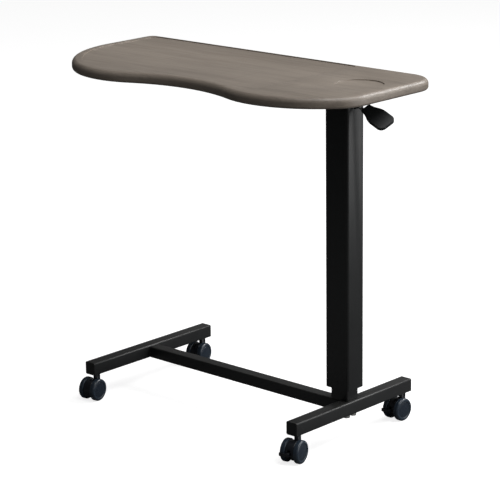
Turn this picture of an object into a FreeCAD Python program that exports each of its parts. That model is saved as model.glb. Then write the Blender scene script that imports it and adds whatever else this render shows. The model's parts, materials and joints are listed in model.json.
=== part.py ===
import FreeCAD, Part

import math
import os

import Sketcher

# Overbed table: an H-shaped base on four twin-wheel casters, a telescopic column with a
# locking gas spring, and a kidney-shaped top with a shallow tray and a cup recess.
#
# The origin is on the floor, under the middle of the table's box. +X runs along the top
# towards the column, +Y towards the straight back edge and +Z up. Millimetres.

DRIVING = {
    # Heights and places of the whole table
    "TableHeight": 736,
    "CasterHeight": 56,
    "BaseY": 15,
    "SlideGap": 0.3,
    "RunningGap": 0.05,
    # Feet, stretcher and their steel
    "FootLength": 365,
    "FootSide": 28,
    "FootLeftX": -264,
    "FootRightX": 315,
    "TubeWall": 1.5,
    "TubeCorner": 3,
    "CapHead": 2.5,
    "CapPlug": 14,
    "StretcherRise": 25,
    "StretcherDepth": 28,
    # Column
    "ColumnX": 299,
    "OuterWidth": 60,
    "OuterDepth": 50,
    "OuterWall": 2,
    "OuterCorner": 5,
    "OuterBottom": 109,
    "InnerWidth": 44,
    "InnerDepth": 36,
    "InnerWall": 2,
    "InnerCorner": 4,
    "InnerLength": 555,
    "GlideHeight": 60,
    "GuideHeight": 40,
    "GuideSet": -1.2,
    "ColumnBoltX": 313,
    "ColumnBoltSpacing": 20,
    "ColumnBoltBore": 8,
    "BoltWasher": 16,
    "FootPlate": 6,
    # Gas spring
    "SpringBottom": 102,
    "SpringLength": 500,
    "SpringBarrel": 22,
    "SpringBore": 18,
    "RodDiameter": 10,
    "RodBottom": 148,
    "RodTop": 690,
    "PinDiameter": 3,
    # Top plate, lever bracket and lever
    "TopPlateLength": 130,
    "TopPlateWidth": 110,
    "TopPlate": 3,
    "ScrewSpacingX": 110,
    "ScrewSpacingY": 90,
    "ScrewDiameter": 4.5,
    "ScrewLength": 16,
    "TopPlateShift": 15,
    "BracketWall": 2,
    "BracketDrop": 15.5,
    "PivotX": 337,
    "PivotZ": 699.5,
    "PivotDiameter": 5,
    "ArmWidth": 8,
    "ArmDrop": 3.4,
    "ArmDepth": 3.5,
    "ArmFinger": 4,
    "ArmEye": 11,
    "ArmReach": 44,
    "PaddleStart": 16,
    "PaddleRoot": 22,
    "PaddleTip": 42,
    "PaddleLength": 66,
    "PaddleSlope": 25,
    "PaddleRoll": 28,
    "PaddleBend": 30,
    "PaddleCorner": 12,
    "PaddleThickness": 6,
    # Tabletop
    "TopThickness": 22,
    "TopHalfLength": 405.5,
    "TopBackY": 187,
    "BackLeftRadius": 23,
    "BackRightRadius": 62,
    "LeftLobeX": -190,
    "LeftLobeY": -189,
    "WaistX": 20,
    "WaistY": -143,
    "RightLobeX": 222,
    "RightLobeY": -182,
    "LeftEndRadius": 244,
    "LeftEndTurn": 60,
    "RightEndRadius": 91,
    "RightEndTurn": 40,
    "LobeShare": 0.36,
    "TopEdge": 11,
    "UnderEdge": 5,
    "RecessDepth": 2,
    "TrayInset": 22,
    "TrayBackInset": 12,
    "TrayRightX": 201,
    "TrayCorner": 16,
    "CupX": 326,
    "CupY": 28,
    "CupDiameter": 98,
    # Casters
    "StemInset": 17,
    "StemDiameter": 8,
    "StemWasher": 13,
    "StemWasherHeight": 1,
    "StemBoss": 11.5,
    "NutAcross": 13,
    "Trail": 13,
    "WheelDiameter": 48,
    "WheelWidth": 11.5,
    "HoodWidth": 18,
    "HoodDiameter": 44,
    "AxleDiameter": 6,
    "WheelCap": 33,
    "WheelCapDepth": 1.6,
    "WheelRim": 3,
    "PedalWidth": 22.5,
    "PedalArm": 6.4,
    "HoodTabReach": 10,
    "HoodTabWidth": 7,
}

# How far each caster is turned about its stem, seen from above, and whether it has a brake
CASTERS = {
    "left_front": {"side": "Left", "end": -1, "turn": 8.0, "brake": False},
    "left_rear": {"side": "Left", "end": 1, "turn": 10.0, "brake": False},
    "right_front": {"side": "Right", "end": -1, "turn": 12.0, "brake": True},
    "right_rear": {"side": "Right", "end": 1, "turn": -2.0, "brake": True},
}

# The direction square to each origin plane, up to its sign
NORMALS = {
    "XY": FreeCAD.Vector(0, 0, 1),
    "XZ": FreeCAD.Vector(0, 1, 0),
    "YZ": FreeCAD.Vector(1, 0, 0),
}

DOC = FreeCAD.newDocument("overbed_table")
SHEET = DOC.addObject("Spreadsheet::Sheet", "Dims")
NODES = []


def fill_sheet():
    """Writes the driving dimensions to the sheet, one aliased cell each."""
    for row, (name, number) in enumerate(DRIVING.items(), start=1):
        SHEET.set(f"A{row}", name)
        SHEET.set(f"B{row}", str(number))
        SHEET.setAlias(f"B{row}", name)
    DOC.recompute()


def bound(text):
    """Returns the expression with each dimension's name pointed at the sheet."""
    words = str(text).replace("(", "( ").replace(")", " )").split()
    return " ".join("Dims." + word if word in DRIVING else word for word in words)


def value(text):
    """Returns the number that an expression of dimension names stands for."""
    return float(SHEET.evalExpression(bound(text)))


def node(piece, label):
    """Names a finished sub-part and lists it for export."""
    piece.Label = label
    NODES.append(piece)
    return piece


def place(piece, x, y, z, rotation=None):
    """Puts a piece at a point bound to the sheet, turned by a rotation if one is given."""
    if rotation is not None:
        piece.Placement = FreeCAD.Placement(FreeCAD.Vector(), rotation)
    for letter, text in zip("xyz", (x, y, z)):
        piece.setExpression(f"Placement.Base.{letter}", bound(text))
    return piece


def new_body(name):
    return DOC.addObject("PartDesign::Body", name)


def new_sketch(body, plane, offset=("0", "0", "0")):
    """Starts a sketch on one of the body's own planes, moved by the offset in its own axes."""
    sketch = body.newObject("Sketcher::SketchObject", "Sketch")
    support = next(f for f in body.Origin.OriginFeatures if f.Role == plane + "_Plane")
    sketch.AttachmentSupport = [(support, "")]
    sketch.MapMode = "FlatFace"
    for letter, text in zip("xyz", offset):
        sketch.setExpression(f"AttachmentOffset.Base.{letter}", bound(text))
    return sketch


def constrain(sketch, text, kind, *where):
    """Adds one measured constraint and binds it to the sheet."""
    index = sketch.addConstraint(Sketcher.Constraint(kind, *where, value(text)))
    sketch.setExpression(f"Constraints[{index}]", bound(text))


def join(sketch, kind, *where):
    """Adds one constraint that has no measure."""
    sketch.addConstraint(Sketcher.Constraint(kind, *where))


def rectangle(sketch, width, height):
    """Draws a rectangle about the sketch's origin."""
    x = value(width) / 2
    y = value(height) / 2
    corners = [FreeCAD.Vector(*point) for point in ((-x, -y), (x, -y), (x, y), (-x, y))]
    first = sketch.GeometryCount
    for index in range(4):
        sketch.addGeometry(Part.LineSegment(corners[index], corners[(index + 1) % 4]))
    for index in range(4):
        join(sketch, "Coincident", first + index, 2, first + (index + 1) % 4, 1)
        join(sketch, "Vertical" if index % 2 else "Horizontal", first + index)
    join(sketch, "Symmetric", first, 1, first + 1, 2, -1, 1)
    constrain(sketch, width, "DistanceX", first, 1, first, 2)
    constrain(sketch, height, "DistanceY", first + 1, 1, first + 1, 2)


def circle(sketch, diameter, x="0", y="0"):
    """Draws a circle at a point of the sketch."""
    centre = FreeCAD.Vector(value(x), value(y), 0)
    first = sketch.addGeometry(Part.Circle(centre, FreeCAD.Vector(0, 0, 1), value(diameter) / 2))
    pin_point(sketch, first, 3, x, y)
    constrain(sketch, diameter, "Diameter", first)


def pin_point(sketch, geometry, end, x, y):
    """Ties one point of a sketch's geometry to its coordinates."""
    for text, kind, axis in ((x, "DistanceX", -2), (y, "DistanceY", -1)):
        if abs(value(text)) < 1e-9:
            join(sketch, "PointOnObject", geometry, end, axis)
        else:
            constrain(sketch, text, kind, -1, 1, geometry, end)


def polygon(sketch, points):
    """Draws a closed outline through points that are pairs of expressions."""
    places = [FreeCAD.Vector(value(x), value(y), 0) for x, y in points]
    first = sketch.GeometryCount
    count = len(points)
    for index in range(count):
        sketch.addGeometry(Part.LineSegment(places[index], places[(index + 1) % count]))
    for index in range(count):
        join(sketch, "Coincident", first + index, 2, first + (index + 1) % count, 1)
    for index, (x, y) in enumerate(points):
        pin_point(sketch, first + index, 1, x, y)


def extrude(body, kind, sketch, length, side="Symmetric", reverse=False):
    """Pads or pockets a sketch and checks that material was really added or taken away."""
    before = body.Shape.Volume if body.Tip else 0.0
    feature = body.newObject("PartDesign::" + kind, kind)
    feature.Profile = sketch
    feature.SideType = side
    feature.Reversed = reverse
    feature.setExpression("Length", bound(length))
    DOC.recompute()
    change = body.Shape.Volume - before
    if (kind == "Pad") != (change > 0):
        raise ValueError(f"{body.Name}: {kind} of {length} changed the volume by {change:.2f}")
    return feature


def pad(body, sketch, length, side="Symmetric", reverse=False):
    return extrude(body, "Pad", sketch, length, side, reverse)


def pocket(body, sketch, length, side="Symmetric", reverse=False):
    return extrude(body, "Pocket", sketch, length, side, reverse)


def fillet(body, radius, chosen):
    """Rounds the edges that the test picks out of the body's last feature."""
    base = body.Tip
    names = [f"Edge{i}" for i, edge in enumerate(base.Shape.Edges, start=1) if chosen(edge)]
    if not names:
        raise ValueError(f"{body.Name}: no edge to round")
    feature = body.newObject("PartDesign::Fillet", "Fillet")
    feature.Base = (base, names)
    feature.setExpression("Radius", bound(radius))
    DOC.recompute()
    return feature


def along(direction):
    """Returns a test for straight edges that run along a direction."""
    def chosen(edge):
        if not isinstance(edge.Curve, Part.Line):
            return False
        return abs(edge.Curve.Direction.dot(direction)) > 0.999
    return chosen


def on_plane(axis, level):
    """Returns a test for edges that lie whole in the plane at a level along x, y or z."""
    def chosen(edge):
        box = edge.BoundBox
        low = getattr(box, axis.upper() + "Min")
        high = getattr(box, axis.upper() + "Max")
        return abs(low - level) < 0.01 and abs(high - level) < 0.01
    return chosen


def hollow_bar(name, plane, outer, inner, length, side="Symmetric"):
    """A rectangular tube or collar: outer and inner are (width, height, corner radius)."""
    body = new_body(name)
    direction = NORMALS[plane]
    block = new_sketch(body, plane)
    rectangle(block, outer[0], outer[1])
    pad(body, block, length, side)
    fillet(body, outer[2], along(direction))
    hole = new_sketch(body, plane)
    rectangle(hole, inner[0], inner[1])
    pocket(body, hole, length, side, reverse=side != "Symmetric")
    centre = body.Shape.BoundBox.Center
    half = (value(inner[0]) / 2, value(inner[1]) / 2)

    def inner_corner(edge):
        if not along(direction)(edge):
            return False
        offset = edge.BoundBox.Center - centre
        first, second = (getattr(offset, letter) for letter in plane.lower())
        return abs(abs(first) - half[0]) < 0.01 and abs(abs(second) - half[1]) < 0.01

    fillet(body, inner[2], inner_corner)
    return body


def turned(name, points):
    """A round piece: the outline of (radius, height) pairs is turned about +Z."""
    body = new_body(name)
    profile = new_sketch(body, "XZ")
    polygon(profile, points)
    feature = body.newObject("PartDesign::Revolution", "Revolution")
    feature.Profile = profile
    feature.ReferenceAxis = (profile, ["V_Axis"])
    feature.Angle = 360
    DOC.recompute()
    return body


def copies(label, piece, places):
    """One node of identical separate solids, from the piece's shape at each placement."""
    group = DOC.addObject("Part::Feature", label)
    group.Shape = Part.makeCompound([piece.Shape.transformed(spot.toMatrix()) for spot in places])
    return node(group, label)


def at(x, y, z, turn=0.0):
    """A placement by expressions, turned about +Z by degrees."""
    spot = FreeCAD.Vector(value(x), value(y), value(z))
    return FreeCAD.Placement(spot, FreeCAD.Rotation(FreeCAD.Vector(0, 0, 1), turn))


def hexagon(name, across, height, bore):
    """A hexagon nut or bolt head with a round bore; a zero bore leaves it whole."""
    prism = DOC.addObject("Part::Prism", name)
    prism.Polygon = 6
    prism.setExpression("Circumradius", bound(f"( {across} ) / 1.7320508"))
    prism.setExpression("Height", bound(height))
    if bore == "0":
        DOC.recompute()
        return prism
    drill = DOC.addObject("Part::Cylinder", name + "_drill")
    drill.setExpression("Radius", bound(f"( {bore} ) / 2"))
    drill.setExpression("Height", bound(height))
    nut = DOC.addObject("Part::Cut", name + "_nut")
    nut.Base = prism
    nut.Tool = drill
    DOC.recompute()
    return nut


# Base ---------------------------------------------------------------------------------------

FOOT_Z = "CasterHeight + FootSide / 2"


def foot_tube(side):
    """A square foot tube along Y, drilled underneath for the caster stems."""
    inside = "FootSide - 2 * TubeWall"
    body = hollow_bar(
        f"{side.lower()}_foot_tube",
        "XZ",
        ("FootSide", "FootSide", "TubeCorner"),
        (inside, inside, "TubeCorner - TubeWall"),
        "FootLength - 2 * CapHead",
    )
    stems = new_sketch(body, "XY", ("0", "0", "( TubeWall - FootSide ) / 2"))
    for sign in ("-", ""):
        circle(stems, "StemDiameter", "0", f"{sign} ( FootLength / 2 - StemInset )")
    pocket(body, stems, "2 * TubeWall")
    if side == "Right":
        bolts = new_sketch(body, "XY")
        for sign in ("-", ""):
            row = f"{sign} ColumnBoltSpacing / 2"
            circle(bolts, "ColumnBoltBore", "ColumnBoltX - FootRightX", row)
        pocket(body, bolts, "2 * FootSide")
    place(body, f"Foot{side}X", "BaseY", FOOT_Z)
    return node(body, f"{side.lower()}_foot_tube")


def end_cap(side, end, word):
    """A black plug: a square head with an eased face and a hollow body inside the tube.

    The body is open below, where the caster's stem and its nut stand.
    """
    body = new_body(f"{side.lower()}_{word}_end_cap")
    head = new_sketch(body, "XZ")
    rectangle(head, "FootSide", "FootSide")
    pad(body, head, "CapHead", "One side", reverse=True)
    fillet(body, "TubeCorner", along(FreeCAD.Vector(0, 1, 0)))
    fillet(body, "1", on_plane("y", value("CapHead")))
    plug = new_sketch(body, "XZ")
    inside = "FootSide - 2 * TubeWall"
    rectangle(plug, inside, inside)
    pad(body, plug, "CapPlug", "One side")
    low = -value("CapPlug")

    def plug_corner(edge):
        return along(FreeCAD.Vector(0, 1, 0))(edge) and abs(edge.BoundBox.YMin - low) < 0.01

    fillet(body, "TubeCorner - TubeWall", plug_corner)
    hollow = new_sketch(body, "XZ")
    rectangle(hollow, inside + " - 4", inside + " - 4")
    pocket(body, hollow, "CapPlug", "One side", reverse=True)
    notch = new_sketch(body, "XY", ("0", "0 - CapPlug", "0 - FootSide / 2"))
    rectangle(notch, "NutAcross + 5", "2 * CapPlug - 4")
    pocket(body, notch, "5", "One side", reverse=True)
    turn = 0 if end > 0 else 180
    offset = "FootLength / 2 - CapHead"
    y = f"BaseY + {offset}" if end > 0 else f"BaseY - ( {offset} )"
    place(body, f"Foot{side}X", y, FOOT_Z, FreeCAD.Rotation(FreeCAD.Vector(0, 0, 1), turn))
    return node(body, f"{side.lower()}_{word}_end_cap")


def stretcher_tube():
    """The crossbar between the feet, flush with their undersides."""
    body = hollow_bar(
        "stretcher_tube",
        "YZ",
        ("StretcherDepth", "StretcherRise", "TubeCorner"),
        ("StretcherDepth - 2 * TubeWall", "StretcherRise - 2 * TubeWall", "TubeCorner - TubeWall"),
        "FootRightX - FootLeftX - FootSide",
    )
    place(body, "( FootLeftX + FootRightX ) / 2", "BaseY", "CasterHeight + StretcherRise / 2")
    return node(body, "stretcher_tube")


def column_seat_plate():
    """The steel packing on the stretcher that carries the left half of the inner tube."""
    body = new_body("column_seat_plate")
    face = new_sketch(body, "XY")
    rectangle(face, "FootRightX - FootSide / 2 - ColumnX + InnerWidth / 2", "StretcherDepth - 2")
    pad(body, face, "FootSide - StretcherRise", "One side")
    place(
        body,
        "( FootRightX - FootSide / 2 + ColumnX - InnerWidth / 2 ) / 2",
        "BaseY",
        "CasterHeight + StretcherRise",
    )
    return node(body, "column_seat_plate")


def column_foot_plate():
    """The thick plate welded inside the inner tube's foot, drilled for bolts and gas spring."""
    body = new_body("column_foot_plate")
    face = new_sketch(body, "XY")
    rectangle(face, "InnerWidth - 2 * InnerWall", "InnerDepth - 2 * InnerWall")
    pad(body, face, "FootPlate", "One side")
    fillet(body, "InnerCorner - InnerWall", along(FreeCAD.Vector(0, 0, 1)))
    holes = new_sketch(body, "XY")
    circle(holes, "StemDiameter")
    for sign in ("-", ""):
        circle(holes, "ColumnBoltBore", "ColumnBoltX - ColumnX", f"{sign} ColumnBoltSpacing / 2")
    pocket(body, holes, "FootPlate", "One side", reverse=True)
    place(body, "ColumnX", "BaseY", "CasterHeight + FootSide")
    return node(body, "column_foot_plate")


def column_bolts():
    """Two hexagon bolts from under the right foot, and their washers."""
    shank = DOC.addObject("Part::Cylinder", "bolt_shank")
    shank.setExpression("Radius", bound("ColumnBoltBore / 2"))
    shank.setExpression("Height", bound("FootSide + FootPlate + 4.5"))
    head = hexagon("bolt_head", "NutAcross", "5.5", "0")
    place(head, "0", "0", "-5.5")
    bolt = DOC.addObject("Part::Fuse", "column_bolt")
    bolt.Base = shank
    bolt.Tool = head
    DOC.recompute()
    washer = turned(
        "bolt_washer",
        [
            ("ColumnBoltBore / 2", "0"),
            ("BoltWasher / 2", "0"),
            ("BoltWasher / 2", "1.6"),
            ("BoltWasher / 2 - 1.2", "1.6"),
            ("BoltWasher / 2 - 1.2", "3.5"),
            ("ColumnBoltBore / 2", "3.5"),
        ],
    )
    rows = ("BaseY - ColumnBoltSpacing / 2", "BaseY + ColumnBoltSpacing / 2")
    copies("column_bolts", bolt, [at("ColumnBoltX", row, "CasterHeight - 3.5") for row in rows])
    down = FreeCAD.Rotation(FreeCAD.Vector(1, 0, 0), 180)
    spots = [FreeCAD.Placement(at("ColumnBoltX", row, "CasterHeight").Base, down) for row in rows]
    copies("column_bolt_washers", washer, spots)


def inner_column_tube():
    body = hollow_bar(
        "inner_column_tube",
        "XY",
        ("InnerWidth", "InnerDepth", "InnerCorner"),
        ("InnerWidth - 2 * InnerWall", "InnerDepth - 2 * InnerWall", "InnerCorner - InnerWall"),
        "InnerLength",
        "One side",
    )
    place(body, "ColumnX", "BaseY", "CasterHeight + FootSide")
    return node(body, "inner_column_tube")


def inner_tube_glide():
    """The plastic sleeve round the head of the inner tube that the outer tube runs on."""
    slack = "2 * ( OuterWall + SlideGap )"
    body = hollow_bar(
        "inner_tube_glide",
        "XY",
        (f"OuterWidth - {slack}", f"OuterDepth - {slack}", "OuterCorner - OuterWall"),
        ("InnerWidth", "InnerDepth", "InnerCorner"),
        "GlideHeight",
        "One side",
    )
    place(body, "ColumnX", "BaseY", "CasterHeight + FootSide + InnerLength - GlideHeight")
    return node(body, "inner_tube_glide")


def gas_spring_cylinder():
    """The closed barrel, with a threaded stud below and a guide for the rod above."""
    body = turned(
        "gas_spring_cylinder",
        [
            ("0", "CasterHeight + FootSide - SpringBottom"),
            ("StemDiameter / 2", "CasterHeight + FootSide - SpringBottom"),
            ("StemDiameter / 2", "0"),
            ("SpringBarrel / 2", "0"),
            ("SpringBarrel / 2", "SpringLength"),
            ("RodDiameter / 2 + RunningGap", "SpringLength"),
            ("RodDiameter / 2 + RunningGap", "SpringLength - 12"),
            ("SpringBore / 2", "SpringLength - 12"),
            ("SpringBore / 2", "8"),
            ("0", "8"),
        ],
    )
    place(body, "ColumnX", "BaseY", "SpringBottom")
    return node(body, "gas_spring_cylinder")


def gas_spring_lower_nut():
    nut = hexagon("lower_nut", "NutAcross", "7", "StemDiameter")
    spot = at("ColumnX", "BaseY", "CasterHeight + FootSide + FootPlate")
    copies("gas_spring_lower_nut", nut, [spot])


def build_base():
    foot_tube("Left")
    foot_tube("Right")
    stretcher_tube()
    for side in ("Left", "Right"):
        for end, word in ((-1, "front"), (1, "rear")):
            end_cap(side, end, word)
    column_seat_plate()
    column_foot_plate()
    column_bolts()
    inner_column_tube()
    inner_tube_glide()
    gas_spring_cylinder()
    gas_spring_lower_nut()


# Lift ---------------------------------------------------------------------------------------

PLATE_Z = "( TableHeight - TopThickness - TopPlate )"


def outer_column_tube():
    """The sleeve that rises with the top, slotted on the right for the lever's finger."""
    body = hollow_bar(
        "outer_column_tube",
        "XY",
        ("OuterWidth", "OuterDepth", "OuterCorner"),
        ("OuterWidth - 2 * OuterWall", "OuterDepth - 2 * OuterWall", "OuterCorner - OuterWall"),
        f"{PLATE_Z} - OuterBottom",
        "One side",
    )
    slot = new_sketch(body, "YZ", ("0", f"{PLATE_Z} - OuterBottom - 11", "OuterWidth / 2"))
    rectangle(slot, "ArmWidth + 4", "22")
    pocket(body, slot, "4 * OuterWall")
    place(body, "ColumnX", "BaseY", "OuterBottom")
    return node(body, "outer_column_tube")


def outer_tube_guide():
    """The plastic bush in the mouth of the outer tube that runs on the inner tube."""
    body = hollow_bar(
        "outer_tube_guide",
        "XY",
        ("OuterWidth - 2 * OuterWall", "OuterDepth - 2 * OuterWall", "OuterCorner - OuterWall"),
        ("InnerWidth + 2 * SlideGap", "InnerDepth + 2 * SlideGap", "InnerCorner"),
        "GuideHeight",
        "One side",
    )
    place(body, "ColumnX", "BaseY", "OuterBottom + GuideSet")
    return node(body, "outer_tube_guide")


def top_mounting_plate():
    """The steel plate welded on the column's head, screwed up into the tabletop."""
    body = new_body("top_mounting_plate")
    face = new_sketch(body, "XY")
    rectangle(face, "TopPlateLength", "TopPlateWidth")
    pad(body, face, "TopPlate", "One side")
    fillet(body, "8", along(FreeCAD.Vector(0, 0, 1)))
    holes = new_sketch(body, "XY")
    for x in ("-", ""):
        for y in ("-", ""):
            circle(holes, "ScrewDiameter", f"{x} ScrewSpacingX / 2", f"{y} ScrewSpacingY / 2")
    pocket(body, holes, "TopPlate", "One side", reverse=True)
    place(body, "ColumnX + TopPlateShift", "BaseY", PLATE_Z)
    return node(body, "top_mounting_plate")


def screw_places(height):
    """The four screw positions of the top plate at a height."""
    return [
        at(f"ColumnX + TopPlateShift {x} ScrewSpacingX / 2", f"BaseY {y} ScrewSpacingY / 2", height)
        for x in "-+"
        for y in "-+"
    ]


def top_plate_screws():
    """Four pan-head wood screws, heads below the plate."""
    screw = turned(
        "top_screw",
        [
            ("0", "-3"),
            ("2.5", "-3"),
            ("4.5", "-1.4"),
            ("4.5", "0"),
            ("ScrewDiameter / 2", "0"),
            ("ScrewDiameter / 2", "ScrewLength - 2"),
            ("0", "ScrewLength"),
        ],
    )
    copies("top_plate_screws", screw, screw_places(PLATE_Z))


def spring_head_bracket():
    """The channel under the top plate that holds the gas spring's rod."""
    body = new_body("spring_head_bracket")
    foot = f"( RodTop - 12 - {PLATE_Z} )"
    profile = new_sketch(body, "YZ")
    polygon(
        profile,
        [
            ("-12", "0"),
            ("-12", foot),
            ("12", foot),
            ("12", "0"),
            ("9", "0"),
            ("9", foot + " + 4"),
            ("-9", foot + " + 4"),
            ("-9", "0"),
        ],
    )
    pad(body, profile, "30")
    hole = new_sketch(body, "XY", ("0", "0", foot + " + 2"))
    circle(hole, "RodDiameter")
    pocket(body, hole, "8")
    place(body, "ColumnX", "BaseY", PLATE_Z)
    return node(body, "spring_head_bracket")


def gas_spring_rod():
    """The hollow-nosed rod; the release pin runs in its upper end."""
    length = "RodTop - RodBottom"
    body = turned(
        "gas_spring_rod",
        [
            ("0", "0"),
            ("RodDiameter / 2", "0"),
            ("RodDiameter / 2", length),
            ("PinDiameter / 2 + RunningGap", length),
            ("PinDiameter / 2 + RunningGap", length + " - 28"),
            ("0", length + " - 28"),
        ],
    )
    place(body, "ColumnX", "BaseY", "RodBottom")
    return node(body, "gas_spring_rod")


def gas_spring_piston():
    """The ring on the rod's lower end that runs in the barrel."""
    body = turned(
        "gas_spring_piston",
        [
            ("RodDiameter / 2", "0"),
            ("SpringBore / 2 - RunningGap", "0"),
            ("SpringBore / 2 - RunningGap", "14"),
            ("RodDiameter / 2", "14"),
        ],
    )
    place(body, "ColumnX", "BaseY", "RodBottom")
    return node(body, "gas_spring_piston")


def gas_spring_rod_nut():
    nut = hexagon("rod_nut", "16", "6", "RodDiameter")
    copies("gas_spring_rod_nut", nut, [at("ColumnX", "BaseY", "RodTop - 8")])


def release_pin():
    """The pin that opens the gas spring's valve when the lever's finger pushes it down."""
    body = turned(
        "release_pin",
        [
            ("0", "0"),
            ("PinDiameter / 2", "0"),
            ("PinDiameter / 2", "27"),
            ("PinDiameter / 2 - 0.5", "27.5"),
            ("0", "27.5"),
        ],
    )
    place(body, "ColumnX", "BaseY", "RodTop - 20")
    return node(body, "release_pin")


def lever_bracket():
    """Two ears below the top plate, just outside the column, that carry the lever's pivot."""
    body = new_body("lever_bracket")
    profile = new_sketch(body, "YZ")
    inside = "( ArmWidth / 2 + SlideGap )"
    outside = f"( {inside} + BracketWall )"
    polygon(
        profile,
        [
            ("0 - " + outside, "0"),
            ("0 - " + outside, "0 - BracketDrop"),
            ("0 - " + inside, "0 - BracketDrop"),
            ("0 - " + inside, "0 - BracketWall"),
            (inside, "0 - BracketWall"),
            (inside, "0 - BracketDrop"),
            (outside, "0 - BracketDrop"),
            (outside, "0"),
        ],
    )
    pad(body, profile, "14")
    hole = new_sketch(body, "XZ", ("0", f"PivotZ - ( {PLATE_Z} )", "0"))
    circle(hole, "PivotDiameter")
    pocket(body, hole, "40")
    place(body, "PivotX", "BaseY", PLATE_Z)
    return node(body, "lever_bracket")


def lever_pivot_pin():
    """The riveted pin across the bracket's ears."""
    body = new_body("lever_pivot_pin")
    shank = new_sketch(body, "XZ")
    circle(shank, "PivotDiameter")
    pad(body, shank, "ArmWidth + 2 * SlideGap + 2 * BracketWall")
    for sign in ("-", ""):
        reach = f"{sign} ( ArmWidth / 2 + SlideGap + BracketWall + 0.8 )"
        head = new_sketch(body, "XZ", ("0", "0", reach))
        circle(head, "PivotDiameter + 3")
        pad(body, head, "1.6")
    place(body, "PivotX", "BaseY", "PivotZ")
    return node(body, "lever_pivot_pin")


def outline(sketch, start, heading, steps):
    """Draws a chain of lines and tangent arcs.

    A step is ("line", length) or ("arc", radius, turn); a positive turn bends to the left.
    Headings and turns are in degrees. Returns the point where the chain ends.
    """
    point = FreeCAD.Vector(*start)
    angle = math.radians(heading)
    for kind, size, *turn in steps:
        if kind == "line":
            end = point + FreeCAD.Vector(math.cos(angle), math.sin(angle)) * size
            sketch.addGeometry(Part.LineSegment(point, end))
        else:
            bend = math.radians(turn[0])
            side = 1 if bend > 0 else -1
            centre = point + FreeCAD.Vector(-math.sin(angle), math.cos(angle)) * size * side

            def on_arc(share):
                swing = angle + bend * share
                return centre + FreeCAD.Vector(math.sin(swing), -math.cos(swing)) * size * side

            end = on_arc(1.0)
            sketch.addGeometry(Part.Arc(point, on_arc(0.5), end))
            angle += bend
        point = end
    return point


def lobed_steps(inset, right_x=None):
    """The tabletop's outline, inset all round, from the top of its left end.

    Returns the start, the heading and the steps. With right_x the outline is closed by a
    straight side at that x, with rounded corners, in place of the table's right end.
    """
    half = value("TopHalfLength")
    back = value("TopBackY")
    lobe_share = value("LobeShare")
    left_lobe = (value("LeftLobeX"), value("LeftLobeY"))
    waist = (value("WaistX"), value("WaistY"))
    right_lobe = (value("RightLobeX"), value("RightLobeY"))
    left_bend = value("LeftEndTurn")
    right_bend = value("RightEndTurn")
    left_end = value("LeftEndRadius")
    right_end = value("RightEndRadius")
    left_front = front_radius(left_lobe[0] + half, left_bend, left_end)
    right_front = front_radius(half - right_lobe[0], right_bend, right_end)
    left_turn, left_sum = s_bend(left_lobe, waist)
    right_turn, right_sum = s_bend(right_lobe, waist)
    if right_x is None:
        corner = value("BackLeftRadius")
        back_inset = inset
    else:
        corner = value("TrayCorner")
        back_inset = value("TrayBackInset")
    left_low = end_level(left_lobe[1], left_bend, left_end, left_front)
    right_low = end_level(right_lobe[1], right_bend, right_end, right_front)
    start = (-half + inset, back - back_inset - corner)
    steps = [
        ("line", start[1] - left_low),
        ("arc", left_end - inset, left_bend),
        ("arc", left_front - inset, 90.0 - left_bend),
        ("arc", lobe_share * left_sum - inset, left_turn),
        ("arc", (1 - lobe_share) * left_sum + inset, -left_turn),
        ("arc", (1 - lobe_share) * right_sum + inset, -right_turn),
    ]
    if right_x is None:
        back_right = value("BackRightRadius")
        steps += [
            ("arc", lobe_share * right_sum - inset, right_turn),
            ("arc", right_front - inset, 90.0 - right_bend),
            ("arc", right_end - inset, right_bend),
            ("line", back - back_right - right_low),
            ("arc", back_right - inset, 90.0),
            ("line", 2 * (half - inset) - corner - back_right + inset),
            ("arc", corner, 90.0),
        ]
        return start, -90.0, steps
    radius = lobe_share * right_sum - inset
    small = value("TrayCorner")
    reach = (right_x - small - right_lobe[0]) / (radius - small)
    heading = math.degrees(math.asin(reach))
    lobe_centre_y = right_lobe[1] + lobe_share * right_sum
    small_centre_y = lobe_centre_y - (radius - small) * math.cos(math.radians(heading))
    steps += [
        ("arc", radius, right_turn + heading),
        ("arc", small, 90.0 - heading),
        ("line", back - back_inset - small - small_centre_y),
        ("arc", small, 90.0),
        ("line", right_x - small - (-half + inset + corner)),
        ("arc", corner, 90.0),
    ]
    return start, -90.0, steps


def front_radius(reach, bend, end_radius):
    """The front arc's radius, so that it and the end arc reach from the lobe to the end."""
    cosine = math.cos(math.radians(bend))
    return (reach - end_radius * (1 - cosine)) / cosine


def end_level(lobe_y, bend, end_radius, front):
    """The y at which the front corner's two arcs run into the straight end."""
    share = math.sin(math.radians(bend))
    return lobe_y + end_radius * share + front * (1 - share)


def s_bend(lobe, waist):
    """The turn of the S-bend from lobe to waist, in degrees, and its two radii's sum."""
    run = abs(waist[0] - lobe[0])
    rise = waist[1] - lobe[1]
    turn = 2 * math.atan2(rise, run)
    return math.degrees(turn), run / math.sin(turn)


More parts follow.
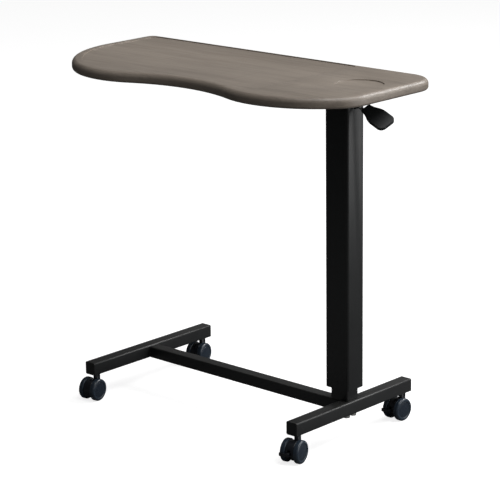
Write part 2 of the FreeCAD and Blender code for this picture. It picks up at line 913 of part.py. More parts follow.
def tabletop_panel():
    """The kidney-shaped board with a rounded rim, a tray recess and a cup recess."""
    body = new_body("tabletop_panel")
    board = new_sketch(body, "XY")
    outline(board, *lobed_steps(0.0))
    pad(body, board, "TopThickness", "One side", reverse=True)
    fillet(body, "TopEdge", on_plane("z", 0.0))
    fillet(body, "UnderEdge", on_plane("z", -value("TopThickness")))
    tray = new_sketch(body, "XY")
    outline(tray, *lobed_steps(value("TrayInset"), value("TrayRightX")))
    pocket(body, tray, "RecessDepth", "One side")
    cup = new_sketch(body, "XY")
    circle(cup, "CupDiameter", "CupX", "CupY")
    pocket(body, cup, "RecessDepth", "One side")
    pilots = new_sketch(body, "XY", ("0", "0", "0 - TopThickness"))
    for x in "-+":
        for y in "-+":
            circle(
                pilots,
                "ScrewDiameter",
                f"ColumnX + TopPlateShift {x} ScrewSpacingX / 2",
                f"BaseY {y} ScrewSpacingY / 2",
            )
    pocket(body, pilots, "ScrewLength - TopPlate", "One side", reverse=True)
    place(body, "0", "0", "TableHeight")
    return node(body, "tabletop_panel")


def build_lift():
    outer_column_tube()
    outer_tube_guide()
    top_mounting_plate()
    top_plate_screws()
    tabletop_panel()
    spring_head_bracket()
    gas_spring_rod()
    gas_spring_piston()
    gas_spring_rod_nut()
    lever_bracket()
    lever_pivot_pin()


# Lever --------------------------------------------------------------------------------------

def lever_arm():
    """The steel arm: a finger over the release pin, an eye on the pivot and a tongue outside."""
    body = new_body("lever_arm")
    eye = new_sketch(body, "XZ")
    circle(eye, "ArmEye")
    pad(body, eye, "ArmWidth")
    finger = new_sketch(body, "XZ", ("( ColumnX - 5 - PivotX ) / 2", "0.3", "0"))
    rectangle(finger, "PivotX - ColumnX + 5", "ArmFinger")
    pad(body, finger, "ArmWidth")
    tongue = new_sketch(body, "XZ")
    slope = math.radians(value("PaddleSlope"))
    near = 2.0
    far = value("ArmReach")
    top = -value("ArmDrop")
    under = top - value("ArmDepth")
    corners = [(near, under), (far, under), (far, top), (near, top)]
    polygon(
        tongue,
        [
            (
                f"{x * math.cos(slope) + z * math.sin(slope):.4f}",
                f"{z * math.cos(slope) - x * math.sin(slope):.4f}",
            )
            for x, z in corners
        ],
    )
    pad(body, tongue, "ArmWidth")
    hole = new_sketch(body, "XZ")
    circle(hole, "PivotDiameter + 2 * RunningGap")
    pocket(body, hole, "2 * ArmWidth")
    place(body, "PivotX", "BaseY", "PivotZ")
    return node(body, "lever_arm")


def lever_paddle():
    """The moulded paddle: a narrow neck, an S-bend on each side and a blunt round end."""
    body = new_body("lever_paddle")
    face = new_sketch(body, "XY", ("0", "0", "-1"))
    root = value("PaddleRoot") / 2
    tip = value("PaddleTip") / 2
    near = value("PaddleStart")
    corner = value("PaddleCorner")
    bend = value("PaddleBend")
    swell = (tip - root) / (2 * (1 - math.cos(math.radians(bend))))
    run = 2 * swell * math.sin(math.radians(bend))
    side = value("PaddleLength") - run - corner
    outline(
        face,
        (near, -root),
        0.0,
        [
            ("arc", swell, -bend),
            ("arc", swell, bend),
            ("line", side),
            ("arc", corner, 90.0),
            ("line", 2 * (tip - corner)),
            ("arc", corner, 90.0),
            ("line", side),
            ("arc", swell, bend),
            ("arc", swell, -bend),
        ],
    )
    DOC.recompute()
    last = face.Geometry[-1].EndPoint
    start = face.Geometry[0].StartPoint
    face.addGeometry(Part.LineSegment(last, start))
    pad(body, face, "PaddleThickness", "One side")
    fillet(body, "1.6", on_plane("z", value("PaddleThickness") - 1))
    slope = FreeCAD.Rotation(FreeCAD.Vector(0, 1, 0), value("PaddleSlope"))
    roll = FreeCAD.Rotation(FreeCAD.Vector(1, 0, 0), value("PaddleRoll"))
    place(body, "PivotX", "BaseY", "PivotZ", slope * roll)
    return node(body, "lever_paddle")


# Casters ------------------------------------------------------------------------------------

def stem_place(caster):
    """The caster's own frame: on the floor under its stem, +X along its axle."""
    spec = CASTERS[caster]
    reach = "FootLength / 2 - StemInset"
    sign = "+" if spec["end"] > 0 else "-"
    return at(f"Foot{spec['side']}X", f"BaseY {sign} ( {reach} )", "0", spec["turn"])


def axle_place(caster, along_axle, facing):
    """A turned piece's place on the axle, its +Z facing out along the axle to one side."""
    quarter = FreeCAD.Rotation(FreeCAD.Vector(0, 1, 0), 90 * facing)
    spot = FreeCAD.Vector(along_axle * facing, -value("Trail"), value("WheelDiameter / 2"))
    return stem_place(caster) * FreeCAD.Placement(spot, quarter)


def caster_hood(caster):
    """The plastic body between the wheels, with the boss that turns on the stem and its tab."""
    body = new_body(f"{caster}_caster_hood")
    centre = ("0 - Trail", "WheelDiameter / 2", "0")
    disc = new_sketch(body, "YZ", centre)
    circle(disc, "HoodDiameter")
    pad(body, disc, "HoodWidth")
    fillet(body, "1.2", lambda edge: edge.BoundBox.XLength < 0.01)
    boss = new_sketch(body, "XY", ("0", "0", "WheelDiameter / 2"))
    circle(boss, "StemBoss")
    top = "CasterHeight - WheelDiameter / 2 - StemWasherHeight - SlideGap"
    pad(body, boss, top, "One side")
    tab = new_sketch(body, "YZ", ("HoodTabReach / 2", "0.75 * CasterHeight", "0"))
    rectangle(tab, "HoodTabReach", "CasterHeight / 2 - 6")
    pad(body, tab, "HoodTabWidth")
    sole = new_sketch(body, "YZ", ("0 - Trail", "5", "0"))
    rectangle(sole, "2 * WheelDiameter", "10")
    pocket(body, sole, "2 * HoodWidth")
    axle = new_sketch(body, "YZ", centre)
    circle(axle, "AxleDiameter")
    pocket(body, axle, "2 * HoodWidth")
    stem = new_sketch(body, "XY", ("0", "0", "CasterHeight"))
    circle(stem, "StemDiameter + 2 * RunningGap")
    pocket(body, stem, "CasterHeight - WheelDiameter / 2 - 4", "One side")
    if CASTERS[caster]["brake"]:
        middle = ("0 - Trail - WheelDiameter / 4", "WheelDiameter / 4", "0")
        slot = new_sketch(body, "YZ", middle)
        rectangle(slot, "WheelDiameter / 2 + 14", "WheelDiameter / 2 + 15")
        pocket(body, slot, "PedalArm + 2 * SlideGap")
    body.Placement = stem_place(caster)
    return node(body, f"{caster}_caster_hood")


def caster_axle(caster):
    """The steel axle, through the hood and into both wheels."""
    half = "( HoodWidth / 2 + WheelWidth - 2.5 )"
    body = turned(
        f"{caster}_caster_axle",
        [
            ("0", f"0 - {half}"),
            ("AxleDiameter / 2", f"0 - {half}"),
            ("AxleDiameter / 2", half),
            ("0", half),
        ],
    )
    body.Placement = axle_place(caster, 0.0, 1)
    return node(body, f"{caster}_caster_axle")


def caster_wheel(caster, word, facing):
    """A wheel with a rounded tread edge, a raised rim and a recess for its cap."""
    tread = "WheelDiameter / 2"
    body = turned(
        f"{caster}_{word}_wheel",
        [
            ("AxleDiameter / 2 + RunningGap", "0"),
            (f"{tread} - 1.5", "0"),
            (tread, "1.5"),
            (tread, "WheelWidth - WheelRim"),
            (f"{tread} - 0.9", "WheelWidth - WheelRim + 1.6"),
            (f"{tread} - WheelRim", "WheelWidth"),
            (f"{tread} - WheelRim - 3", "WheelWidth"),
            (f"{tread} - WheelRim - 4", "WheelWidth - 0.8"),
            ("WheelCap / 2", "WheelWidth - 0.8"),
            ("WheelCap / 2", "WheelWidth - 0.8 - WheelCapDepth"),
            ("AxleDiameter / 2 + RunningGap", "WheelWidth - 0.8 - WheelCapDepth"),
        ],
    )
    body.Placement = axle_place(caster, value("HoodWidth / 2 + SlideGap"), facing)
    return node(body, f"{caster}_{word}_wheel")


def wheel_cap(caster, word, facing):
    """The disc that covers the axle's end on the wheel's outer face."""
    body = turned(
        f"{caster}_{word}_cap",
        [
            ("0", "0"),
            ("WheelCap / 2", "0"),
            ("WheelCap / 2", "WheelCapDepth - 0.5"),
            ("WheelCap / 2 - 0.5", "WheelCapDepth"),
            ("0", "WheelCapDepth"),
        ],
    )
    reach = value("HoodWidth / 2 + SlideGap + WheelWidth - 0.8 - WheelCapDepth")
    body.Placement = axle_place(caster, reach, facing)
    return node(body, f"{caster}_{word}_cap")


def brake_pedal(caster):
    """The brake pedal: an eye on the axle, an arm in the hood's slot and a one-sided toe bar."""
    body = new_body(f"{caster}_brake_pedal")
    centre = ("0 - Trail", "WheelDiameter / 2", "0")
    eye = new_sketch(body, "YZ", centre)
    circle(eye, "AxleDiameter + 6")
    pad(body, eye, "PedalArm")
    middle = ("0 - Trail - WheelDiameter / 4", "WheelDiameter / 2 - 0.5", "0")
    arm = new_sketch(body, "YZ", middle)
    rectangle(arm, "WheelDiameter / 2 + 4", "6")
    pad(body, arm, "PedalArm")
    shift = "( PedalArm - PedalWidth ) / 2"
    end = ("0 - Trail - WheelDiameter / 2 - 2.3", "WheelDiameter / 2 - 1.5", shift)
    toe = new_sketch(body, "YZ", end)
    rectangle(toe, "3", "7")
    pad(body, toe, "PedalWidth")
    bore = new_sketch(body, "YZ", centre)
    circle(bore, "AxleDiameter + 2 * RunningGap")
    pocket(body, bore, "2 * PedalArm")
    body.Placement = stem_place(caster)
    return node(body, f"{caster}_brake_pedal")


def stem_set():
    """The four stems, their locknuts inside the feet and the washers under the feet."""
    stem = turned(
        "stem",
        [
            ("0", "WheelDiameter / 2 + 5"),
            ("StemDiameter / 2", "WheelDiameter / 2 + 5"),
            ("StemDiameter / 2", "CasterHeight + 12"),
            ("StemDiameter / 2 - 1", "CasterHeight + 13"),
            ("0", "CasterHeight + 13"),
        ],
    )
    washer = turned(
        "stem_washer",
        [
            ("StemDiameter / 2", "CasterHeight - StemWasherHeight"),
            ("StemWasher / 2", "CasterHeight - StemWasherHeight"),
            ("StemWasher / 2", "CasterHeight"),
            ("StemDiameter / 2", "CasterHeight"),
        ],
    )
    nut = hexagon("stem_nut", "NutAcross", "6.5", "StemDiameter")
    spots = [stem_place(caster) for caster in CASTERS]
    inside = FreeCAD.Placement(at("0", "0", "CasterHeight + TubeWall").Base, FreeCAD.Rotation())
    copies("caster_stems", stem, spots)
    copies("caster_stem_washers", washer, spots)
    copies("caster_stem_nuts", nut, [spot * inside for spot in spots])


def build_casters():
    stem_set()
    for caster, spec in CASTERS.items():
        caster_hood(caster)
        caster_axle(caster)
        for word, facing in (("outer", 1), ("inner", -1)):
            caster_wheel(caster, word, facing)
            wheel_cap(caster, word, facing)
        if spec["brake"]:
            brake_pedal(caster)


def check_and_write():
    """Stops on any failed object or broken shape, then writes one STEP file per node."""
    for thing in DOC.Objects:
        if "Invalid" in thing.State or "Error" in thing.State:
            raise ValueError(f"{thing.Label} is in the state {thing.State}")
    os.makedirs("parts", exist_ok=True)
    for piece in NODES:
        if piece.Shape.isNull() or not piece.Shape.isValid():
            raise ValueError(f"{piece.Label} has no valid shape")
        piece.Shape.exportStep(f"parts/{piece.Label}.step")
        box = piece.Shape.BoundBox
        solids = len(piece.Shape.Solids)
        print(
            f"{piece.Label}: {solids} solid, {piece.Shape.Volume / 1000:.2f} cm3,"
            f" x {box.XMin:.1f}..{box.XMax:.1f}, y {box.YMin:.1f}..{box.YMax:.1f},"
            f" z {box.ZMin:.1f}..{box.ZMax:.1f}"
        )
    print(f"{len(NODES)} nodes")


fill_sheet()
build_base()
build_lift()
lever_arm()
lever_paddle()
release_pin()
build_casters()
DOC.recompute()
check_and_write()
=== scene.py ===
"""Finishes, fine shapes and studio for a height-adjustable overbed table.

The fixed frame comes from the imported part. This script keeps every CAD piece where it is,
eases or replaces the ones that show, and gives each a procedural finish. Metres throughout.
"""

import json
import logging
import math
from collections.abc import Callable
from dataclasses import dataclass, field
from enum import Enum

import bmesh
import bpy
from mathutils import Matrix, Vector

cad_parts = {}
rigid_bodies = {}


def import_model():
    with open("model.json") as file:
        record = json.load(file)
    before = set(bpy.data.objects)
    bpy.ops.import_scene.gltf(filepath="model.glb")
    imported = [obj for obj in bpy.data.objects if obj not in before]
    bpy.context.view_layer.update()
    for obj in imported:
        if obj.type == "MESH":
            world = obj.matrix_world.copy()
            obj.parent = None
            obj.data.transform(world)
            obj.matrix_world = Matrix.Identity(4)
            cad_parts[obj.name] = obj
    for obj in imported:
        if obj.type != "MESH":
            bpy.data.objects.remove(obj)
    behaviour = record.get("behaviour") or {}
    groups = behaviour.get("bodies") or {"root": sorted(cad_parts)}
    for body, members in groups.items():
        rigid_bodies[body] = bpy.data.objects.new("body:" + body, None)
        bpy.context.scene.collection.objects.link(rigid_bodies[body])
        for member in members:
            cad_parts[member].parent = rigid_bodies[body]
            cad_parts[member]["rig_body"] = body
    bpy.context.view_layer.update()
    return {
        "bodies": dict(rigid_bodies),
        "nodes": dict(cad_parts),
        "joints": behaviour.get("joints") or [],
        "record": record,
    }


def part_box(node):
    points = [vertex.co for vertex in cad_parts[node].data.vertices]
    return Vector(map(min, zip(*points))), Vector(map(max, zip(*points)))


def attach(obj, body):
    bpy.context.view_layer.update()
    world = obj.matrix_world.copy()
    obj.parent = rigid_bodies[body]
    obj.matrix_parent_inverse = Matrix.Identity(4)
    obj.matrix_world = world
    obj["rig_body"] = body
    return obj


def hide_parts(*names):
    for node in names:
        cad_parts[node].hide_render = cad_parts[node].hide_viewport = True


LOG = logging.getLogger("overbed_table")
MM = 0.001
SQUARE = 60.0  # Degrees: eases only a section's square corners.
Triple = tuple[float, float, float]
Colour = Triple


# Shader building ----------------------------------------------------------------------------


class Graph:
    """Shorthand for adding and joining the nodes of one shader tree."""

    def __init__(self, tree: bpy.types.NodeTree) -> None:
        """Takes the tree that the nodes go into."""
        self.tree = tree

    def add(self, kind: str, values: dict | None = None, **settings: object) -> bpy.types.Node:
        """Adds a node.

        Args:
            kind: the node's type name without its "ShaderNode" start.
            values: numbers, colours or output sockets, by input name or index.
            settings: the node's own properties.

        Returns:
            The new node.
        """
        made = self.tree.nodes.new("ShaderNode" + kind)
        for name, setting in settings.items():
            setattr(made, name, setting)
        for name, value in (values or {}).items():
            if isinstance(value, bpy.types.NodeSocket):
                self.tree.links.new(value, made.inputs[name])
            else:
                made.inputs[name].default_value = value
        return made

    def maths(self, operation: str, first: object, second: object = 0.0) -> bpy.types.NodeSocket:
        """Adds one Math node and returns its output."""
        return self.add("Math", {0: first, 1: second}, operation=operation).outputs[0]

    def ranged(self, value: object, low: float, high: float, start: float, end: float) -> object:
        """Adds a clamped Map Range from low..high to start..end and returns its output."""
        spans = {"Value": value, "From Min": low, "From Max": high, "To Min": start, "To Max": end}
        return self.add("MapRange", spans, clamp=True).outputs["Result"]

    def blend(self, share: object, first: object, second: object) -> bpy.types.NodeSocket:
        """Adds a colour Mix node and returns its result."""
        made = self.add("Mix", data_type="RGBA")
        for index, value in ((0, share), (6, first), (7, second)):
            if isinstance(value, bpy.types.NodeSocket):
                self.tree.links.new(value, made.inputs[index])
            elif index == 0:
                made.inputs[index].default_value = value
            else:
                made.inputs[index].default_value = (*value, 1.0)
        return made.outputs[2]

    def noise(self, vector: object, scale: object, detail: float = 3.0) -> bpy.types.NodeSocket:
        """Adds a Noise Texture and returns its factor."""
        values = {"Vector": vector, "Scale": scale, "Detail": detail}
        return self.add("TexNoise", values).outputs["Fac"]

    def stretched(self, vector: object, scale: Triple) -> bpy.types.NodeSocket:
        """Adds a Mapping node that scales the coordinates and returns its vector."""
        return self.add("Mapping", {"Vector": vector, "Scale": scale}).outputs[0]


class Effect(Enum):
    """The shared surface effects, each one node group."""

    EDGE_WEAR = "edge_wear_and_highlight"
    FINE_TEXTURE = "fine_texture"
    MOTTLE = "colour_mottle"
    DUST = "settled_dust"
    SCRATCHES = "fine_scratches"


class EffectShelf:
    """Builds each shared effect once and hands it to the materials that use it."""

    def __init__(self) -> None:
        """Starts with no group built."""
        self.built: dict[Effect, bpy.types.NodeTree] = {}

    def group(self, effect: Effect) -> bpy.types.NodeTree:
        """Returns the effect's node group, built at its first use."""
        if effect not in self.built:
            self.built[effect] = getattr(self, effect.value)()
        return self.built[effect]

    def place(self, graph: Graph, effect: Effect, values: dict) -> bpy.types.Node:
        """Puts an effect into a material.

        Args:
            graph: the material's graph.
            effect: which effect.
            values: the group's inputs by name.

        Returns:
            The group node.
        """
        made = graph.tree.nodes.new("ShaderNodeGroup")
        made.node_tree = self.group(effect)
        for name, value in values.items():
            if isinstance(value, bpy.types.NodeSocket):
                graph.tree.links.new(value, made.inputs[name])
            else:
                made.inputs[name].default_value = value
        return made

    def start(self, effect: Effect, inputs: dict, outputs: dict) -> tuple:
        """Makes an empty group with named sockets.

        Args:
            effect: which effect, for its name.
            inputs: socket kinds by name.
            outputs: socket kinds by name.

        Returns:
            The tree, its graph, the input node and the output node.
        """
        tree = bpy.data.node_groups.new(effect.value, "ShaderNodeTree")
        for flow, sockets in (("INPUT", inputs), ("OUTPUT", outputs)):
            for name, kind in sockets.items():
                tree.interface.new_socket(name, in_out=flow, socket_type="NodeSocket" + kind)
        entry = tree.nodes.new("NodeGroupInput")
        leave = tree.nodes.new("NodeGroupOutput")
        return tree, Graph(tree), entry, leave

    def edge_wear_and_highlight(self) -> bpy.types.NodeTree:
        """A mask that is bright along outer edges and broken up by noise: edge wear on most pieces, a
        painted rim highlight on the wheels.
        """
        inputs = {"Vector": "Vector", "Width": "Float", "Breakup": "Float"}
        tree, graph, entry, leave = self.start(Effect.EDGE_WEAR, inputs, {"Mask": "Float"})
        rounded = graph.add("Bevel", {"Radius": entry.outputs["Width"]}, samples=4)
        plain = graph.add("NewGeometry")
        turned = graph.add("VectorMath", operation="DOT_PRODUCT")
        tree.links.new(rounded.outputs[0], turned.inputs[0])
        tree.links.new(plain.outputs["Normal"], turned.inputs[1])
        edge = graph.ranged(turned.outputs["Value"], 0.90, 0.995, 1.0, 0.0)
        edge_breakup = graph.noise(entry.outputs["Vector"], entry.outputs["Breakup"], 4.0)
        kept = graph.ranged(edge_breakup, 0.42, 0.62, 0.15, 1.0)
        tree.links.new(graph.maths("MULTIPLY", edge, kept), leave.inputs["Mask"])
        return tree

    def fine_texture(self) -> bpy.types.NodeTree:
        """A fine grainy height, as on powder coat or a spark-eroded mould."""
        inputs = {"Vector": "Vector", "Scale": "Float"}
        tree, graph, entry, leave = self.start(Effect.FINE_TEXTURE, inputs, {"Height": "Float"})
        coarse = graph.noise(entry.outputs["Vector"], entry.outputs["Scale"], 2.0)
        finer = graph.maths("MULTIPLY", entry.outputs["Scale"], 2.7)
        fine = graph.noise(entry.outputs["Vector"], finer, 2.0)
        half = graph.maths("MULTIPLY", fine, 0.5)
        tree.links.new(graph.maths("ADD", coarse, half), leave.inputs["Height"])
        return tree

    def colour_mottle(self) -> bpy.types.NodeTree:
        """A slow, faint change of colour, and the same change as a value."""
        inputs = {"Vector": "Vector", "Color": "Color", "Scale": "Float", "Amount": "Float"}
        outputs = {"Color": "Color", "Value": "Float"}
        tree, graph, entry, leave = self.start(Effect.MOTTLE, inputs, outputs)
        slow = graph.noise(entry.outputs["Vector"], entry.outputs["Scale"], 5.0)
        centred = graph.maths("SUBTRACT", slow, 0.5)
        swing = graph.maths("MULTIPLY", centred, entry.outputs["Amount"])
        bright = graph.maths("ADD", swing, 1.0)
        shade = graph.add("HueSaturation", {"Color": entry.outputs["Color"], "Value": bright})
        tree.links.new(shade.outputs[0], leave.inputs["Color"])
        tree.links.new(slow, leave.inputs["Value"])
        return tree

    def settled_dust(self) -> bpy.types.NodeTree:
        """A mask that is bright on faces that look up, in soft patches."""
        inputs = {"Vector": "Vector", "Scale": "Float", "Amount": "Float"}
        tree, graph, entry, leave = self.start(Effect.DUST, inputs, {"Mask": "Float"})
        facing = graph.add("SeparateXYZ")
        tree.links.new(graph.add("NewGeometry").outputs["Normal"], facing.inputs[0])
        upward = graph.ranged(facing.outputs["Z"], 0.3, 1.0, 0.0, 1.0)
        patches = graph.noise(entry.outputs["Vector"], entry.outputs["Scale"], 6.0)
        soft = graph.ranged(patches, 0.35, 0.75, 0.3, 1.0)
        settled = graph.maths("MULTIPLY", upward, soft)
        mask = graph.maths("MULTIPLY", settled, entry.outputs["Amount"])
        tree.links.new(mask, leave.inputs["Mask"])
        return tree

    def fine_scratches(self) -> bpy.types.NodeTree:
        """A mask of sparse hairlines in two directions."""
        inputs = {"Vector": "Vector", "Scale": "Float"}
        tree, graph, entry, leave = self.start(Effect.SCRATCHES, inputs, {"Mask": "Float"})
        lines = []
        for stretch in ((1.0, 0.03, 0.3), (0.04, 1.0, 0.4)):
            vector = graph.stretched(entry.outputs["Vector"], stretch)
            streak = graph.noise(vector, entry.outputs["Scale"], 1.0)
            lines.append(graph.ranged(streak, 0.66, 0.72, 0.0, 1.0))
        tree.links.new(graph.maths("MAXIMUM", lines[0], lines[1]), leave.inputs["Mask"])
        return tree


SHELF = EffectShelf()


@dataclass(frozen=True)
class Finish:
    """What every finish has: a name, a colour and a roughness."""

    name: str
    colour: Colour
    roughness: float

    def open_material(self) -> tuple[bpy.types.Material, Graph, bpy.types.Node, object]:
        """Starts a material with its shader and Object coordinates.

        Returns:
            The material, its graph, the Principled shader and the coordinate socket.
        """
        material = bpy.data.materials.new(self.name)
        material.use_nodes = True
        graph = Graph(material.node_tree)
        shader = material.node_tree.nodes["Principled BSDF"]
        material.diffuse_color = (*self.colour, 1.0)
        return material, graph, shader, graph.add("TexCoord").outputs["Object"]

    @staticmethod
    def drive(graph: Graph, shader: bpy.types.Node, **sockets: object) -> None:
        """Links outputs to the shader's inputs, given with underscores for spaces."""
        for name, socket in sockets.items():
            graph.tree.links.new(socket, shader.inputs[name.replace("_", " ")])

    @staticmethod
    def bump(graph: Graph, height: object, distance: float, strength: float) -> object:
        """Adds a Bump node and returns its normal."""
        values = {"Height": height, "Distance": distance, "Strength": strength}
        return graph.add("Bump", values).outputs["Normal"]


@dataclass(frozen=True)
class Coating(Finish):
    """Powder coat, paint or moulded plastic: one colour with grain, a lighter edge tint and dust. The
    edge tint is wear on the frame and plastics, and a painted highlight on the wheels' rims.
    """

    # Lighter edge tint: edge wear on most finishes, a painted rim highlight on the wheels and their
    # caps.
    wear_and_highlight_tint: Colour = (0.10, 0.10, 0.10)
    wear_and_highlight: float = 0.35
    wear_and_highlight_width: float = 0.6 * MM
    edge_breakup_scale: float = 160.0
    grain_scale: float = 1400.0
    grain_depth: float = 0.03 * MM
    grain_strength: float = 0.5
    mottle: float = 0.35
    mottle_scale: float = 9.0
    dust: float = 0.05
    dust_scale: float = 30.0
    dust_colour: Colour = (0.32, 0.30, 0.27)
    specular: float = 0.5
    rough_spread: tuple[float, float] = (0.9, 1.12)

    def make(self) -> bpy.types.Material:
        """Builds the material."""
        material, graph, shader, where = self.open_material()
        shader.inputs["Specular IOR Level"].default_value = self.specular
        patches = {
            "Vector": where,
            "Color": (*self.colour, 1.0),
            "Scale": self.mottle_scale,
            "Amount": self.mottle,
        }
        mottled = SHELF.place(graph, Effect.MOTTLE, patches)
        # The lighter edge tint is wear on most pieces and a painted highlight on the wheels' rims.
        edge_tint_inputs = {"Vector": where, "Width": self.wear_and_highlight_width, "Breakup": self.edge_breakup_scale}
        edge = SHELF.place(graph, Effect.EDGE_WEAR, edge_tint_inputs)
        film = {"Vector": where, "Scale": self.dust_scale, "Amount": self.dust}
        dust = SHELF.place(graph, Effect.DUST, film)
        share = graph.maths("MULTIPLY", edge.outputs["Mask"], self.wear_and_highlight)
        colour = graph.blend(share, mottled.outputs["Color"], self.wear_and_highlight_tint)
        colour = graph.blend(dust.outputs["Mask"], colour, self.dust_colour)
        grain = SHELF.place(graph, Effect.FINE_TEXTURE, {"Vector": where, "Scale": self.grain_scale})
        low, high = (self.roughness * factor for factor in self.rough_spread)
        rough = graph.ranged(mottled.outputs["Value"], 0.3, 0.7, low, high)
        normal = self.bump(graph, grain.outputs["Height"], self.grain_depth, self.grain_strength)
        self.drive(graph, shader, Base_Color=colour, Roughness=rough, Normal=normal)
        return material


@dataclass(frozen=True)
class Metal(Finish):
    """Bare or plated steel with hairlines and a slow tarnish."""

    tarnish: Colour = (0.42, 0.41, 0.38)
    tarnish_share: float = 0.5
    mottle: float = 0.3
    mottle_scale: float = 60.0
    scratch_scale: float = 420.0
    scratch_depth: float = 0.01 * MM
    scratch_strength: float = 0.4
    scratch_roughness: float = 0.15

    def make(self) -> bpy.types.Material:
        """Builds the material."""
        material, graph, shader, where = self.open_material()
        shader.inputs["Metallic"].default_value = 1.0
        patches = {
            "Vector": where,
            "Color": (*self.colour, 1.0),
            "Scale": self.mottle_scale,
            "Amount": self.mottle,
        }
        mottled = SHELF.place(graph, Effect.MOTTLE, patches)
        hair = SHELF.place(graph, Effect.SCRATCHES, {"Vector": where, "Scale": self.scratch_scale})
        dull = graph.ranged(mottled.outputs["Value"], 0.5, 0.75, 0.0, self.tarnish_share)
        colour = graph.blend(dull, mottled.outputs["Color"], self.tarnish)
        scored = graph.maths("MULTIPLY", hair.outputs["Mask"], self.scratch_roughness)
        rough = graph.maths("ADD", scored, self.roughness)
        normal = self.bump(graph, hair.outputs["Mask"], self.scratch_depth, self.scratch_strength)
        self.drive(graph, shader, Base_Color=colour, Roughness=rough, Normal=normal)
        return material


@dataclass(frozen=True)
class OakFilm(Finish):
    """Printed oak-grain film drawn over the board, its grain along X."""

    dark: Colour = (0.144, 0.119, 0.097)
    pore: Colour = (0.100, 0.084, 0.070)
    pore_depth: float = 0.05 * MM
    pore_strength: float = 0.35
    pore_share: float = 0.34
    wander: float = 0.06
    board_stretch: Triple = (0.9, 7.0, 7.0)
    streak_stretch: Triple = (2.2, 46.0, 46.0)
    thread_stretch: Triple = (9.0, 260.0, 260.0)
    pore_stretch: Triple = (26.0, 900.0, 900.0)
    streak_share: float = 0.36
    thread_share: float = 0.26
    dust_scale: float = 12.0
    dust: float = 0.015
    dust_colour: Colour = (0.5, 0.48, 0.45)
    scratch_scale: float = 90.0
    scratch_roughness: float = 0.04

    def make(self) -> bpy.types.Material:
        """Builds the material."""
        material, graph, shader, where = self.open_material()
        wander = graph.noise(graph.stretched(where, (1.6, 5.0, 5.0)), 1.0, 2.0)
        drift = graph.add("VectorMath", {1: (0.0, self.wander, 0.0)}, operation="MULTIPLY")
        graph.tree.links.new(wander, drift.inputs[0])
        moved = graph.add("VectorMath", {0: where, 1: drift.outputs[0]}, operation="ADD").outputs[0]
        boards = graph.noise(graph.stretched(moved, self.board_stretch), 1.0, 2.0)
        broad = graph.noise(graph.stretched(moved, self.streak_stretch), 1.0, 4.0)
        fine = graph.noise(graph.stretched(moved, self.thread_stretch), 1.0, 3.0)
        pores = graph.noise(graph.stretched(moved, self.pore_stretch), 1.0, 1.0)
        streaks = graph.maths("MULTIPLY", graph.ranged(broad, 0.36, 0.66, 0.0, 1.0), self.streak_share)
        threads = graph.maths("MULTIPLY", graph.ranged(fine, 0.35, 0.68, 0.0, 1.0), self.thread_share)
        tone = graph.maths("ADD", streaks, threads)
        tone = graph.maths("ADD", tone, graph.ranged(boards, 0.35, 0.65, -0.1, 0.18))
        colour = graph.blend(tone, self.colour, self.dark)
        mask = graph.ranged(pores, 0.60, 0.70, 0.0, self.pore_share)
        colour = graph.blend(mask, colour, self.pore)
        film = {"Vector": where, "Scale": self.dust_scale, "Amount": self.dust}
        dust = SHELF.place(graph, Effect.DUST, film)
        colour = graph.blend(dust.outputs["Mask"], colour, self.dust_colour)
        hair = SHELF.place(graph, Effect.SCRATCHES, {"Vector": where, "Scale": self.scratch_scale})
        rough = graph.ranged(fine, 0.3, 0.7, self.roughness * 0.9, self.roughness * 1.15)
        scored = graph.maths("MULTIPLY", hair.outputs["Mask"], self.scratch_roughness)
        rough = graph.maths("ADD", rough, scored)
        height = graph.maths("SUBTRACT", 1.0, graph.maths("ADD", mask, threads))
        normal = self.bump(graph, height, self.pore_depth, self.pore_strength)
        self.drive(graph, shader, Base_Color=colour, Roughness=rough, Normal=normal)
        return material


